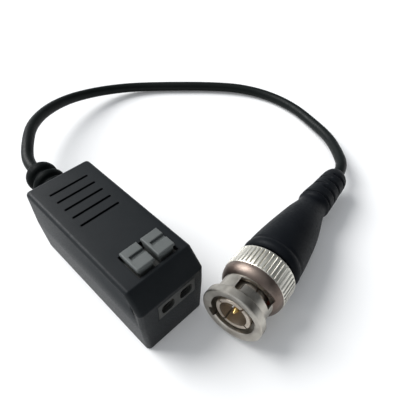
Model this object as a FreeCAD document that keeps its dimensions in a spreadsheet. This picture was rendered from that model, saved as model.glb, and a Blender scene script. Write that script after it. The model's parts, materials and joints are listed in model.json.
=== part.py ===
"""Passive video balun: a small two shell box with a two way push terminal at
its front and a short coaxial pigtail that ends in a bayonet plug.

X is the width of the box, Y runs from the terminal end (negative) to the cable
end (positive), Z is up, and the origin is the middle of the box's underside.
All sizes are in millimetres.
"""
import FreeCAD
import Part
import Sketcher
import math
import os
from FreeCAD import Placement, Rotation, Vector

# Driving sizes, written once each
SIZES = [
    # box
    ("CaseWidth", 15.9),
    ("TopWidth", 15.7),
    ("BaseWidth", 14.9),
    ("CaseLength", 38.1),
    ("CaseHeight", 18.3),
    ("PartingHeight", 9.3),
    ("WallThick", 1.3),
    ("SlopeRun", 3.6),
    ("CreaseGap", 1.1),
    ("EdgeRadius", 1.0),
    ("BaseRadius", 0.4),
    ("CreaseRadius", 0.5),
    ("LipHeight", 1.0),
    ("LipThick", 0.55),
    ("FitGap", 0.08),
    # cooling slots engraved in the top
    ("VentCount", 5),
    ("VentPitch", 2.85),
    ("VentLength", 9.3),
    ("VentWidth", 0.6),
    ("VentDepth", 0.6),
    ("VentRear", 14.15),
    # pegs that join the shells
    ("PegRadius", 0.7),
    ("PegReach", 3.2),
    ("PostWall", 0.75),
    ("PegSpacing", 9.2),
    ("PegInset", 3.2),
    # circuit board
    ("BoardHeight", 3.6),
    ("BoardThick", 1.2),
    ("LedgeWidth", 1.0),
    ("LedgeLength", 2.4),
    # push terminal
    ("TerminalShift", 0.75),
    ("TerminalWidth", 9.3),
    ("TerminalBelow", 2.3),
    ("TerminalAbove", 2.3),
    ("TerminalDepth", 11.35),
    ("ChannelPitch", 4.55),
    ("EntryWidth", 3.1),
    ("EntryTall", 2.9),
    ("EntryDepth", 0.8),
    ("EntryRound", 1.0),
    ("WireHole", 2.5),
    ("WireHeight", 10.9),
    ("WellWidth", 3.35),
    ("WellFront", 4.95),
    ("WellLength", 5.5),
    ("WellFloor", 7.0),
    # levers
    ("LeverWidth", 3.95),
    ("LeverLength", 5.3),
    ("LeverProud", 1.5),
    ("LeverHead", 1.25),
    ("LeverTravel", 1.3),
    ("LeverRun", 0.07),
    ("LeverStem", 4.1),
    ("LeverRib", 0.75),
    ("LeverGroove", 0.95),
    ("LeverGrooveDepth", 0.9),
    ("LeverRound", 0.25),
    ("FootLength", 1.9),
    # contacts and clamp springs
    ("StripThick", 0.35),
    ("ContactLength", 2.6),
    ("PinWidth", 0.8),
    ("PinReach", 1.4),
    ("SpringThick", 0.3),
    ("SpringWidth", 2.2),
    ("SpringBend", 1.0),
    # transformer and parts on the board
    ("CoreWidth", 8.0),
    ("CoreDepth", 6.0),
    ("CoreHeight", 4.4),
    ("CoreHole", 2.2),
    ("CorePlace", 2.6),
    ("WireThick", 0.4),
    ("TurnCount", 4),
    ("DiodeLength", 4.3),
    ("DiodeWidth", 3.4),
    ("DiodeHeight", 2.2),
    ("DiodeGap", 0.6),
    ("ChipLength", 2.0),
    ("ChipWidth", 1.25),
    ("ChipHeight", 0.9),
    # strain relief at the box
    ("ReliefShift", 0.45),
    ("ReliefRadius", 4.15),
    ("ReliefNeck", 3.0),
    ("ReliefGroove", 3.35),
    ("ReliefLength", 15.65),
    ("ReliefInside", 1.4),
    # cable
    ("CableDiameter", 3.1),
    ("CoreWire", 1.6),
    ("ScreenWire", 1.0),
    # bayonet plug, measured along its own axis from the rim of the nut
    ("PlugX", 6.54),
    ("PlugY", -27.98),
    ("PlugZ", 7.95),
    ("PlugTurn", 9.26),
    ("PlugDip", 2.94),
    ("RimRadius", 6.81),
    ("TubeRadius", 5.75),
    ("FrontBore", 4.95),
    ("FrontBoreEnd", 6.9),
    ("NutBore", 5.15),
    ("MouthRadius", 5.45),
    ("RimLength", 2.0),
    ("NeckRound", 0.6),
    ("BellStart", 5.9),
    ("SlotTurn", 26.8),
    ("SlotReach", 3.98),
    ("SlotFront", 4.4),
    ("SlotRear", 5.5),
    ("SlotRamp", 1.0),
    ("NotchFront", 2.5),
    ("NotchWidth", 1.15),
    ("ChannelRadius", 5.55),
    ("ChannelTurn", 136.6),
    ("ChannelSweep", 24.0),
    ("KnurlRadius", 7.25),
    ("KnurlStart", 8.3),
    ("KnurlCount", 38),
    ("KnurlDepth", 0.3),
    ("KnurlGap", 0.4),
    ("NutLength", 13.45),
    ("ShoulderThick", 1.55),
    ("NutFloat", 0.6),
    ("SleeveFront", 0.6),
    ("SleeveRadius", 4.05),
    ("SleeveBore", 3.1),
    ("SleeveSlot", 0.4),
    ("SleeveDepth", 4.8),
    ("SleeveTurn", 28.0),
    ("FlangeRadius", 5.05),
    ("FlangeFront", 8.9),
    ("FlangeThick", 1.2),
    ("GasketThick", 0.6),
    ("WasherThick", 0.55),
    ("RingThick", 0.5),
    ("RingRadius", 4.75),
    ("RingGapTurn", 35.0),
    ("StemRadius", 2.3),
    ("StemEnd", 21.5),
    ("InsulatorRadius", 2.9),
    ("PinRadius", 0.67),
    ("PinFront", 0.8),
    ("FerruleWall", 0.45),
    ("FerruleLength", 7.5),
    # moulded boot behind the plug
    ("BootFront", 14.6),
    ("BootLip", 6.95),
    ("BootLipRun", 2.0),
    ("BootShoulder", 29.5),
    ("BootShoulderRadius", 5.35),
    ("BootWaist", 37.4),
    ("BootWaistRadius", 3.9),
    ("TailRadius", 4.1),
    ("TailEndRadius", 2.8),
    ("BootEnd", 54.0),
    ("TailGroove", 0.8),
    ("TailGrooveDepth", 0.7),
    ("TailPitch", 3.35),
    ("TailFirst", 39.4),
]

# Route of the free cable, from the strain relief to the end of the boot. The
# first two points lie on the strain relief's axis and the last two on the
# plug's axis, which are worked out from the sizes.
CABLE_ROUTE = [
    (3.9, 44.2, 10.2),
    (8.8, 51.1, 10.0),
    (16.2, 56.7, 8.8),
    (24.9, 60.5, 6.9),
    (33.2, 62.0, 5.0),
    (40.8, 61.5, 3.4),
    (48.3, 59.3, 2.3),
    (55.6, 54.8, 1.7),
    (63.0, 48.2, 1.7),
    (70.6, 41.0, 1.7),
    (78.0, 32.1, 1.8),
    (81.9, 22.2, 1.7),
    (82.3, 11.6, 1.9),
    (79.2, 1.7, 2.1),
    (75.3, -7.0, 2.9),
    (70.0, -13.1, 4.0),
]
CABLE_START = 3.6
CABLE_FINISH = 4.4

# Bends of the two bared tails inside the box: across from the cable's axis,
# forward from the strain relief's inner end, and up from the axis. The last
# pair is where a tail meets the board.
CORE_TAIL = [(0.7, 0.0, 0.0), (0.7, 2.2, 0.0), (1.2, 4.8, -2.4)]
CORE_PAD = (1.5, 5.4)
SCREEN_TAIL = [(-1.2, 0.0, -0.8), (-1.2, 1.8, -0.8), (-1.9, 4.7, -2.8)]
SCREEN_PAD = (-2.3, 5.2)

doc = FreeCAD.newDocument("VideoBalun")
sheet = doc.addObject("Spreadsheet::Sheet", "Sizes")
for row, (alias, number) in enumerate(SIZES, start=1):
    sheet.set("A%d" % row, alias)
    sheet.set("B%d" % row, str(number))
    sheet.setAlias("B%d" % row, alias)
doc.recompute()


class Size:
    """A length with both its present number and the sheet expression behind it."""

    def __init__(self, text, number):
        self.text = text
        self.number = number

    def __add__(self, other):
        other = as_size(other)
        return Size("(%s + %s)" % (self.text, other.text), self.number + other.number)

    def __sub__(self, other):
        other = as_size(other)
        return Size("(%s - %s)" % (self.text, other.text), self.number - other.number)

    def __mul__(self, other):
        other = as_size(other)
        return Size("(%s * %s)" % (self.text, other.text), self.number * other.number)

    def __truediv__(self, other):
        other = as_size(other)
        return Size("(%s / %s)" % (self.text, other.text), self.number / other.number)

    def __neg__(self):
        return Size("(0 - %s)" % self.text, -self.number)

    def __radd__(self, other):
        return as_size(other) + self

    def __rsub__(self, other):
        return as_size(other) - self


def as_size(value):
    return value if isinstance(value, Size) else Size("(%r)" % float(value), float(value))


def cell(alias):
    return Size("Sizes." + alias, float(getattr(sheet, alias)))


def root_of(value):
    return Size("sqrt(%s)" % value.text, math.sqrt(value.number))


def bind(thing, name, value):
    thing.setExpression(name, as_size(value).text)


def new_body(label):
    body = doc.addObject("PartDesign::Body", label)
    body.Label = label
    return body


def base_plane(body, role):
    return [plane for plane in body.Origin.OriginFeatures if plane.Role == role][0]


def new_sketch(body, name, role, height=None, turn=None):
    """A sketch on one of the body's own planes, raised by height or turned about its X."""
    sketch = body.newObject("Sketcher::SketchObject", body.Label + "_" + name)
    sketch.AttachmentSupport = [(base_plane(body, role), "")]
    sketch.MapMode = "FlatFace"
    if turn is not None:
        sketch.AttachmentOffset = Placement(Vector(0, 0, 0), Rotation(Vector(1, 0, 0), turn.number))
        bind(sketch, "AttachmentOffset.Rotation.Angle", turn)
    if height is not None:
        sketch.AttachmentOffset = Placement(Vector(0, 0, height.number), Rotation())
        bind(sketch, "AttachmentOffset.Base.z", height)
    return sketch


def drive_point(sketch, geometry, point, x, y):
    """Ties a point of the sketch to its two coordinates."""
    for kind, axis, value in (("DistanceX", -2, as_size(x)), ("DistanceY", -1, as_size(y))):
        if value.text == "(0.0)":
            sketch.addConstraint(Sketcher.Constraint("PointOnObject", geometry, point, axis))
            continue
        number = sketch.addConstraint(
            Sketcher.Constraint(kind, -1, 1, geometry, point, value.number))
        sketch.setExpression("Constraints[%d]" % number, value.text)


def arc_between(start, end, radius, left):
    """The shorter arc from start to end whose centre lies to the left or right of the way."""
    middle = (start + end) / 2
    way = end - start
    reach = math.sqrt(max(radius ** 2 - (way.Length / 2) ** 2, 0.0))
    side = Vector(-way.y, way.x, 0).normalize() * (reach if left else -reach)
    centre = middle + side
    first = math.atan2(start.y - centre.y, start.x - centre.x)
    last = math.atan2(end.y - centre.y, end.x - centre.x)
    circle = Part.Circle(centre, Vector(0, 0, 1), radius)
    return Part.ArcOfCircle(circle, first, last) if left else Part.ArcOfCircle(circle, last, first)


def outline(sketch, corners):
    """A closed outline. A corner is (x, y), or (x, y, side, radius) where an arc leaves it."""
    places = [Vector(as_size(c[0]).number, as_size(c[1]).number, 0) for c in corners]
    pieces = []
    for index, corner in enumerate(corners):
        start = places[index]
        end = places[(index + 1) % len(corners)]
        if len(corner) == 2:
            pieces.append((sketch.addGeometry(Part.LineSegment(start, end)), 1, 2))
            continue
        left = corner[2] == "left"
        number = sketch.addGeometry(arc_between(start, end, corner[3].number, left))
        limit = sketch.addConstraint(Sketcher.Constraint("Radius", number, corner[3].number))
        sketch.setExpression("Constraints[%d]" % limit, corner[3].text)
        pieces.append((number, 1, 2) if left else (number, 2, 1))
    for index, corner in enumerate(corners):
        before = pieces[index - 1]
        after = pieces[index]
        sketch.addConstraint(
            Sketcher.Constraint("Coincident", before[0], before[2], after[0], after[1]))
        drive_point(sketch, after[0], after[1], corner[0], corner[1])


def box_outline(sketch, left, right, low, high):
    outline(sketch, [(left, low), (right, low), (right, high), (left, high)])


def round_hole(sketch, x, y, radius):
    number = sketch.addGeometry(
        Part.Circle(Vector(as_size(x).number, as_size(y).number, 0), Vector(0, 0, 1), radius.number))
    limit = sketch.addConstraint(Sketcher.Constraint("Radius", number, radius.number))
    sketch.setExpression("Constraints[%d]" % limit, radius.text)
    drive_point(sketch, number, 3, x, y)


def slot_outline(sketch, x, y, length, width):
    """A slot with round ends, lying along the sketch's x."""
    half = (length - width) / 2
    radius = width / 2
    outline(sketch, [
        (x - half, y - radius),
        (x + half, y - radius, "left", radius * 1.0001),
        (x + half, y + radius),
        (x - half, y + radius, "left", radius * 1.0001),
    ])


def add_feature(body, kind, sketch, name, length, symmetric=False, backwards=False):
    """A pad or pocket of a sketch, checked to have changed the body the right way."""
    before = body.Shape.Volume if body.Tip else 0.0
    feature = body.newObject("PartDesign::" + kind, body.Label + "_" + name)
    feature.Profile = sketch
    if length is None:
        feature.Type = "ThroughAll"
    else:
        feature.Length = length.number
        bind(feature, "Length", length)
    feature.SideType = "Symmetric" if symmetric else "One side"
    feature.Reversed = backwards
    doc.recompute()
    change = body.Shape.Volume - before
    if (change <= 0) if kind == "Pad" else (change >= 0):
        raise RuntimeError("%s of %s changed nothing: %g" % (name, body.Label, change))
    return feature


def pad(body, sketch, name, length, **options):
    return add_feature(body, "Pad", sketch, name, length, **options)


def pocket(body, sketch, name, length, **options):
    return add_feature(body, "Pocket", sketch, name, length, **options)


def turned(body, sketch, name, kind="Revolution", angle=None):
    """A profile turned about the sketch's horizontal axis."""
    before = body.Shape.Volume if body.Tip else 0.0
    feature = body.newObject("PartDesign::" + kind, body.Label + "_" + name)
    feature.Profile = sketch
    feature.ReferenceAxis = (sketch, ["H_Axis"])
    feature.Angle = 360.0 if angle is None else angle.number
    if angle is not None:
        bind(feature, "Angle", angle)
    doc.recompute()
    change = body.Shape.Volume - before
    if (change <= 0) if kind == "Revolution" else (change >= 0):
        raise RuntimeError("%s of %s changed nothing: %g" % (name, body.Label, change))
    return feature


def round_edges(body, name, radius, wanted, kind="Fillet"):
    """Rounds or bevels each edge of the body's tip for which wanted(edge) is true."""
    tip = body.Tip
    names = ["Edge%d" % (i + 1) for i, edge in enumerate(tip.Shape.Edges) if wanted(edge)]
    if not names:
        raise RuntimeError("no edge found for %s of %s" % (name, body.Label))
    feature = body.newObject("PartDesign::" + kind, body.Label + "_" + name)
    feature.Base = (tip, names)
    if kind == "Fillet":
        feature.Radius = radius.number
        bind(feature, "Radius", radius)
    else:
        feature.Size = radius.number
        bind(feature, "Size", radius)
    doc.recompute()
    return feature


def repeated(body, feature, name, axis_role, count, spacing=None):
    """A polar pattern about an axis of the body, or a linear one where spacing is given."""
    axis = [a for a in body.Origin.OriginFeatures if a.Role == axis_role][0]
    if spacing is None:
        pattern = body.newObject("PartDesign::PolarPattern", body.Label + "_" + name)
        pattern.Axis = (axis, [""])
        pattern.Angle = 360.0
    else:
        pattern = body.newObject("PartDesign::LinearPattern", body.Label + "_" + name)
        pattern.Direction = (axis, [""])
        pattern.Mode = "Spacing"
        pattern.Offset = spacing.number
        bind(pattern, "Offset", spacing)
        pattern.Reversed = True
    pattern.Originals = [feature]
    pattern.Occurrences = int(count.number)
    bind(pattern, "Occurrences", count)
    body.Tip = pattern
    doc.recompute()
    return pattern


def middle_of(edge):
    return edge.valueAt((edge.FirstParameter + edge.LastParameter) / 2)


def along(edge, direction):
    """Whether a straight edge runs along a direction."""
    if edge.Curve.TypeId != "Part::GeomLine":
        return False
    return abs(edge.tangentAt(edge.FirstParameter).dot(direction)) > 0.999


def near(value, target):
    return abs(value - as_size(target).number) < 0.01


ALONG_X = Vector(1, 0, 0)
ALONG_Y = Vector(0, 1, 0)
ALONG_Z = Vector(0, 0, 1)

width = cell("CaseWidth")
length = cell("CaseLength")
height = cell("CaseHeight")
parting = cell("PartingHeight")
wall = cell("WallThick")
# the cavity and the lip have upright sides, set by the narrowest part of the box
top_width = cell("TopWidth")
base_width = cell("BaseWidth")
inner_half = base_width / 2 - wall
front = -(length / 2)
rear = length / 2
gap = cell("FitGap")
slope_top = front + cell("SlopeRun")
# the terminal's face reaches a named way below and above the wires, and the
# slope starts a named way above it
terminal_bottom = cell("WireHeight") - cell("TerminalBelow")
terminal_top = cell("WireHeight") + cell("TerminalAbove")
crease = terminal_top + cell("CreaseGap")
# distance that the slope's inner face lies in from its outer face, along Y
slope_rise = height - crease
slope_length = root_of(cell("SlopeRun") * cell("SlopeRun") + slope_rise * slope_rise)
slope_ratio = cell("SlopeRun") / slope_rise
slope_step = slope_length / slope_rise

terminal_x = cell("TerminalShift")
terminal_half = cell("TerminalWidth") / 2
terminal_left = terminal_x - terminal_half
terminal_right = terminal_x + terminal_half
channel_half = cell("ChannelPitch") / 2
lever_front = front + cell("WellFront") + cell("LeverRun")
lever_rear = lever_front + cell("LeverLength")
board_top = cell("BoardHeight") + cell("BoardThick")
# the board ends just short of the posts that take the pegs
board_rear = rear - wall - cell("PegInset") - cell("PegRadius") - cell("PostWall") - gap * 2
relief_x = cell("ReliefShift")


def slope_inner_y(depth, z):
    """Y of the plane that lies depth inside the sloped face, at height z."""
    return front + depth * slope_step + (z - crease) * slope_ratio


def tapered_block(body, low, low_width, high, high_width):
    """A block whose width changes from low to high, as long as the box."""
    section = new_sketch(body, "Section", "XZ_Plane")
    outline(section, [(-(low_width / 2), low), (low_width / 2, low),
                      (high_width / 2, high), (-(high_width / 2), high)])
    pad(body, section, "Block", length, symmetric=True)


def make_upper_shell():
    body = new_body("upper_shell")
    tapered_block(body, parting, width, height, top_width)
    slope = new_sketch(body, "Slope", "YZ_Plane")
    outline(slope, [(front, crease), (slope_top, height), (front, height)])
    pocket(body, slope, "SlopedFront", width + wall, symmetric=True)
    round_edges(body, "Creases", cell("CreaseRadius"), lambda e: along(e, ALONG_X)
                and (near(middle_of(e).y, front) and near(middle_of(e).z, crease)
                     or near(middle_of(e).y, slope_top) and near(middle_of(e).z, height)))
    side_zone = top_width.number / 2 - 0.2
    round_edges(body, "Corners", cell("EdgeRadius"), lambda e: middle_of(e).z > parting.number + 0.1
                and (abs(middle_of(e).x) > side_zone
                     or along(e, ALONG_X) and near(middle_of(e).y, rear)))
    hollow = new_sketch(body, "Hollow", "YZ_Plane")
    ceiling = height - wall
    outline(hollow, [(front + wall, parting), (rear - wall, parting), (rear - wall, ceiling),
                     (slope_inner_y(wall, ceiling), ceiling),
                     (front + wall, crease + (wall - wall * slope_step) / slope_ratio)])
    pocket(body, hollow, "Cavity", inner_half * 2, symmetric=True)
    rebate = new_sketch(body, "Rebate", "XY_Plane", height=parting)
    lip = wall - cell("LipThick") - gap
    lip_half = inner_half + cell("LipThick") + gap
    box_outline(rebate, -lip_half, lip_half, front + lip, rear - lip)
    pocket(body, rebate, "LipRoom", cell("LipHeight") + gap, backwards=True)
    face = new_sketch(body, "Face", "XZ_Plane", height=-front)
    box_outline(face, terminal_left - gap, terminal_right + gap, parting,
                terminal_top + gap)
    pocket(body, face, "FaceWindow", wall * 2)
    top = new_sketch(body, "Top", "XY_Plane", height=height)
    lever_left = terminal_x - channel_half - cell("LeverWidth") / 2
    lever_right = terminal_x + channel_half + cell("LeverWidth") / 2
    room = gap * 5
    box_outline(top, lever_left - room * 1.4, lever_right + room, lever_front - room * 1.7,
                lever_rear + room)
    pocket(body, top, "LeverWindow", wall * 2)
    vents = new_sketch(body, "Vents", "XY_Plane", height=height)
    slot_outline(vents, as_size(0), cell("VentRear"), cell("VentLength"), cell("VentWidth"))
    vent = pocket(body, vents, "Vent", cell("VentDepth"))
    repeated(body, vent, "VentRow", "Y_Axis", cell("VentCount"), spacing=cell("VentPitch"))
    neck = new_sketch(body, "Neck", "XZ_Plane", height=-rear)
    round_hole(neck, relief_x, parting, cell("ReliefNeck") + gap)
    pocket(body, neck, "ReliefHole", wall, backwards=True)
    pegs = new_sketch(body, "Pegs", "XY_Plane", height=ceiling)
    for side_sign in (-1, 1):
        round_hole(pegs, cell("PegSpacing") / 2 * side_sign, rear - wall - cell("PegInset"),
                   cell("PegRadius"))
    pad(body, pegs, "PegPair", ceiling - parting + cell("PegReach"), backwards=True)
    return body


def make_lower_shell():
    body = new_body("lower_shell")
    tapered_block(body, as_size(0), base_width, parting, width)
    round_edges(body, "Corners", cell("EdgeRadius"), lambda e: not along(e, ALONG_Y)
                and 0.1 < middle_of(e).z < parting.number - 0.1)
    round_edges(body, "BottomEdges", cell("BaseRadius"), lambda e: near(middle_of(e).z, 0))
    inside = new_sketch(body, "Inside", "XY_Plane", height=parting)
    box_outline(inside, -inner_half, inner_half, front + wall, rear - wall)
    pocket(body, inside, "Cavity", parting - wall)
    lip = new_sketch(body, "Lip", "XY_Plane", height=parting)
    inner = wall - cell("LipThick")
    lip_half = inner_half + cell("LipThick")
    box_outline(lip, -lip_half, lip_half, front + inner, rear - inner)
    box_outline(lip, -inner_half, inner_half, front + wall, rear - wall)
    pad(body, lip, "Tongue", cell("LipHeight"))
    face = new_sketch(body, "Face", "XZ_Plane", height=-front)
    box_outline(face, terminal_left - gap, terminal_right + gap, terminal_bottom - gap,
                parting + cell("LipHeight") * 2)
    pocket(body, face, "FaceNotch", wall + gap)
    neck = new_sketch(body, "Neck", "XZ_Plane", height=-rear)
    round_hole(neck, relief_x, parting, cell("ReliefNeck") + gap)
    pocket(body, neck, "ReliefHole", wall, backwards=True)
    posts = new_sketch(body, "Posts", "XY_Plane", height=wall)
    holes = new_sketch(body, "PegHoles", "XY_Plane", height=parting - gap)
    for side_sign in (-1, 1):
        spot = cell("PegSpacing") / 2 * side_sign
        round_hole(posts, spot, rear - wall - cell("PegInset"), cell("PegRadius") + cell("PostWall"))
        round_hole(holes, spot, rear - wall - cell("PegInset"), cell("PegRadius") + gap / 2)
    pad(body, posts, "PostPair", parting - wall - gap)
    pocket(body, holes, "PegRoom", cell("PegReach") + gap)
    ledges = new_sketch(body, "Ledges", "XY_Plane", height=wall)
    for side_sign in (-1, 1):
        for start in (front + wall, board_rear - cell("LedgeLength")):
            near_wall = inner_half * side_sign
            far = (inner_half - cell("LedgeWidth")) * side_sign
            left, right = (far, near_wall) if side_sign > 0 else (near_wall, far)
            box_outline(ledges, left, right, start, start + cell("LedgeLength"))
    pad(body, ledges, "LedgeSet", cell("BoardHeight") - wall)
    return body


def make_terminal_block():
    body = new_body("terminal_block")
    side = new_sketch(body, "Side", "YZ_Plane")
    clear = wall + gap * 2
    top = height - clear
    back = front + cell("TerminalDepth")
    outline(side, [(front, terminal_bottom), (front + clear, terminal_bottom),
                   (front + clear, board_top), (back, board_top), (back, top),
                   (slope_inner_y(clear, top), top),
                   (front + clear, crease + (clear - clear * slope_step) / slope_ratio),
                   (front + clear, terminal_top), (front, terminal_top)])
    pad(body, side, "Block", cell("TerminalWidth"), symmetric=True)
    wells = new_sketch(body, "Wells", "XY_Plane", height=top)
    entries = new_sketch(body, "Entries", "XZ_Plane", height=-front)
    holes = new_sketch(body, "Holes", "XZ_Plane", height=-front)
    pins = new_sketch(body, "Pins", "XY_Plane", height=cell("WellFloor"))
    half = cell("EntryWidth") / 2
    tall = cell("EntryTall") / 2
    for side_sign in (-1, 1):
        centre = channel_half * side_sign
        box_outline(wells, centre - cell("WellWidth") / 2, centre + cell("WellWidth") / 2,
                    front + cell("WellFront"), front + cell("WellFront") + cell("WellLength"))
        box_outline(entries, centre - half, centre + half, cell("WireHeight") - tall,
                    cell("WireHeight") + tall)
        round_hole(holes, centre, cell("WireHeight"), cell("WireHole") / 2)
        pin_y = front + cell("WellFront") + cell("ContactLength") / 2
        box_outline(pins, centre - cell("PinWidth") / 2 - gap, centre + cell("PinWidth") / 2 + gap,
                    pin_y - cell("StripThick") / 2 - gap, pin_y + cell("StripThick") / 2 + gap)
    pocket(body, wells, "WellPair", top - cell("WellFloor"))
    pocket(body, entries, "EntryPair", cell("EntryDepth"))
    is_entry_corner = lambda e: along(e, ALONG_Y) and near(e.Length, cell("EntryDepth")) \
        and middle_of(e).y < front.number + cell("EntryDepth").number
    round_edges(body, "EntryCorners", cell("EntryRound"), is_entry_corner)
    pocket(body, holes, "HolePair", cell("WellFront") + gap)
    pocket(body, pins, "PinPair", cell("WellFloor") - board_top)
    body.Placement = Placement(Vector(terminal_x.number, 0, 0), Rotation())
    bind(body, "Placement.Base.x", terminal_x)
    return body


def place_in_channel(body, side_sign):
    """Puts a body that was drawn about x = 0 into one channel of the terminal."""
    spot = terminal_x + channel_half * side_sign
    body.Placement = Placement(Vector(spot.number, 0, 0), Rotation())
    bind(body, "Placement.Base.x", spot)


leaf_base = cell("WellFloor") + cell("StripThick") + gap / 2
leaf_start = front + cell("WellFront") + gap * 3
leaf_turn = front + cell("WellFront") + cell("WellLength") - cell("SpringBend") \
    - cell("SpringThick") - gap * 2
leaf_arm = leaf_base + cell("SpringThick") + cell("SpringBend") * 2
leaf_tip_y = leaf_start + gap * 11
leaf_tip_z = cell("WireHeight") + cell("WireHole") / 2 - cell("SpringThick") - gap


def leaf_top(y):
    """Height of the spring's upper arm at a given Y."""
    rise = (leaf_tip_z - leaf_arm) / (leaf_turn - leaf_tip_y)
    return leaf_arm + cell("SpringThick") + (leaf_turn - y) * rise


def make_lever(label, side_sign):
    body = new_body(label)
    half = cell("LeverWidth") / 2
    crown = height + cell("LeverProud")
    under = crown - cell("LeverHead")
    head = new_sketch(body, "Head", "XY_Plane", height=under)
    box_outline(head, -half, half, lever_front, lever_rear)
    pad(body, head, "HeadBlock", cell("LeverHead"))
    groove = new_sketch(body, "Groove", "XY_Plane", height=crown)
    groove_mid = lever_front + cell("LeverLength") * 0.53
    box_outline(groove, cell("LeverRib") - half, half, groove_mid - cell("LeverGroove") / 2,
                groove_mid + cell("LeverGroove") / 2)
    pocket(body, groove, "CrossGroove", cell("LeverGrooveDepth"))
    round_edges(body, "HeadEdges", cell("LeverRound"),
                lambda e: near(middle_of(e).z, crown))
    stem = new_sketch(body, "Stem", "XY_Plane", height=under)
    stem_half = cell("WellWidth") / 2 - cell("LeverRun")
    rest = cell("WireHeight") + cell("WireHole") / 2 + cell("StripThick") + cell("LeverTravel") + gap * 5
    stem_back = lever_front + cell("WellLength") - cell("LeverRun") * 2
    box_outline(stem, -stem_half, stem_half, lever_front, stem_back)
    pad(body, stem, "StemBlock", under - rest, backwards=True)
    foot = new_sketch(body, "Foot", "XY_Plane", height=rest)
    foot_front = stem_back - cell("FootLength")
    box_outline(foot, -stem_half, stem_half, foot_front, stem_back)
    pad(body, foot, "FootBlock", rest - leaf_top(foot_front) - gap / 4, backwards=True)
    place_in_channel(body, side_sign)
    return body


def make_contact(label, side_sign):
    """A brass strip bent round the wire's path: floor, cheek and roof, with a solder pin."""
    body = new_body(label)
    strip = cell("StripThick")
    half = cell("WellWidth") / 2 - gap / 2
    low = cell("WellFloor")
    roof = cell("WireHeight") + cell("WireHole") / 2 + gap
    section = new_sketch(body, "Section", "XZ_Plane", height=-(front + cell("WellFront") + gap))
    outer = half * side_sign
    inner = (half - strip) * side_sign
    far = -(half * side_sign)
    outline(section, [(far, low), (outer, low), (outer, roof + strip), (far, roof + strip),
                      (far, roof), (inner, roof), (inner, low + strip), (far, low + strip)])
    pad(body, section, "Cage", cell("ContactLength"), backwards=True)
    pin = new_sketch(body, "Pin", "XY_Plane", height=low + strip / 2)
    pin_y = front + cell("WellFront") + cell("ContactLength") / 2
    box_outline(pin, -(cell("PinWidth") / 2), cell("PinWidth") / 2, pin_y - strip / 2,
                pin_y + strip / 2)
    pad(body, pin, "PinLeg", low + strip / 2 - cell("BoardHeight") + cell("PinReach"),
        backwards=True)
    place_in_channel(body, side_sign)
    return body


def make_clamp_spring(label, side_sign):
    """A leaf that lies on the contact's floor, turns back and rises to its roof."""
    body = new_body(label)
    thick = cell("SpringThick")
    bend = cell("SpringBend")
    side = new_sketch(body, "Leaf", "YZ_Plane")
    outline(side, [
        (leaf_start, leaf_base),
        (leaf_turn, leaf_base, "left", (bend + thick) * 1.0001),
        (leaf_turn, leaf_arm + thick),
        (leaf_tip_y, leaf_tip_z + thick),
        (leaf_tip_y, leaf_tip_z),
        (leaf_turn, leaf_arm, "right", bend * 1.0001),
        (leaf_turn, leaf_base + thick),
        (leaf_start, leaf_base + thick),
    ])
    pad(body, side, "LeafStrip", cell("SpringWidth"), symmetric=True)
    place_in_channel(body, side_sign)
    return body


def make_circuit_board():
    body = new_body("circuit_board")
    plan = new_sketch(body, "Plan", "XY_Plane", height=cell("BoardHeight"))
    start = front + wall + gap
    board_half = inner_half - gap * 2
    box_outline(plan, -board_half, board_half, start, board_rear)
    pin_y = front + cell("WellFront") + cell("ContactLength") / 2
    for side_sign in (-1, 1):
        round_hole(plan, terminal_x + channel_half * side_sign, pin_y,
                   cell("PinWidth") / 2 + gap)
    pad(body, plan, "Sheet", cell("BoardThick"))
    return body


def make_transformer_core():
    """A ferrite block with two bores along Y."""
    body = new_body("transformer_core")
    base = board_top
    middle = base + cell("CoreHeight") / 2
    face = new_sketch(body, "Face", "XZ_Plane", height=-cell("CorePlace"))
    half = cell("CoreWidth") / 2
    box_outline(face, -half, half, base, base + cell("CoreHeight"))
    for side_sign in (-1, 1):
        round_hole(face, half / 2 * side_sign, middle, cell("CoreHole") / 2)
    pad(body, face, "Ferrite", cell("CoreDepth"), symmetric=True)
    round_edges(body, "Edges", gap * 5, lambda e: along(e, ALONG_Y)
                and near(abs(middle_of(e).x), half))
    return body


def make_part(label, shape):
    """A document object for a piece whose form is worked out in code."""
    piece = doc.addObject("Part::Feature", label)
    piece.Label = label
    piece.Shape = shape
    return piece


def make_transformer_winding():
    """Turns of enamelled wire through both bores, one above the other."""
    wire = cell("WireThick").number
    middle = board_top.number + cell("CoreHeight").number / 2
    half_x = cell("CoreWidth").number / 4
    half_y = cell("CoreDepth").number / 2 + wire
    turns = []
    count = int(cell("TurnCount").number)
    for turn in range(count):
        z = middle + (turn - (count - 1) / 2) * (wire + gap.number / 2)
        y = cell("CorePlace").number
        outer = Part.makeBox(half_x * 2 + wire, half_y * 2 + wire, wire,
                             Vector(-half_x - wire / 2, y - half_y - wire / 2, z - wire / 2))
        inner = Part.makeBox(half_x * 2 - wire, half_y * 2 - wire, wire,
                             Vector(-half_x + wire / 2, y - half_y + wire / 2, z - wire / 2))
        ring = outer.cut(inner)
        uprights = [e for e in ring.Edges if along(e, ALONG_Z)]
        turns.append(ring.makeFillet(wire * 0.45, uprights))
    return make_part("transformer_winding", Part.makeCompound(turns))


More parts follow.
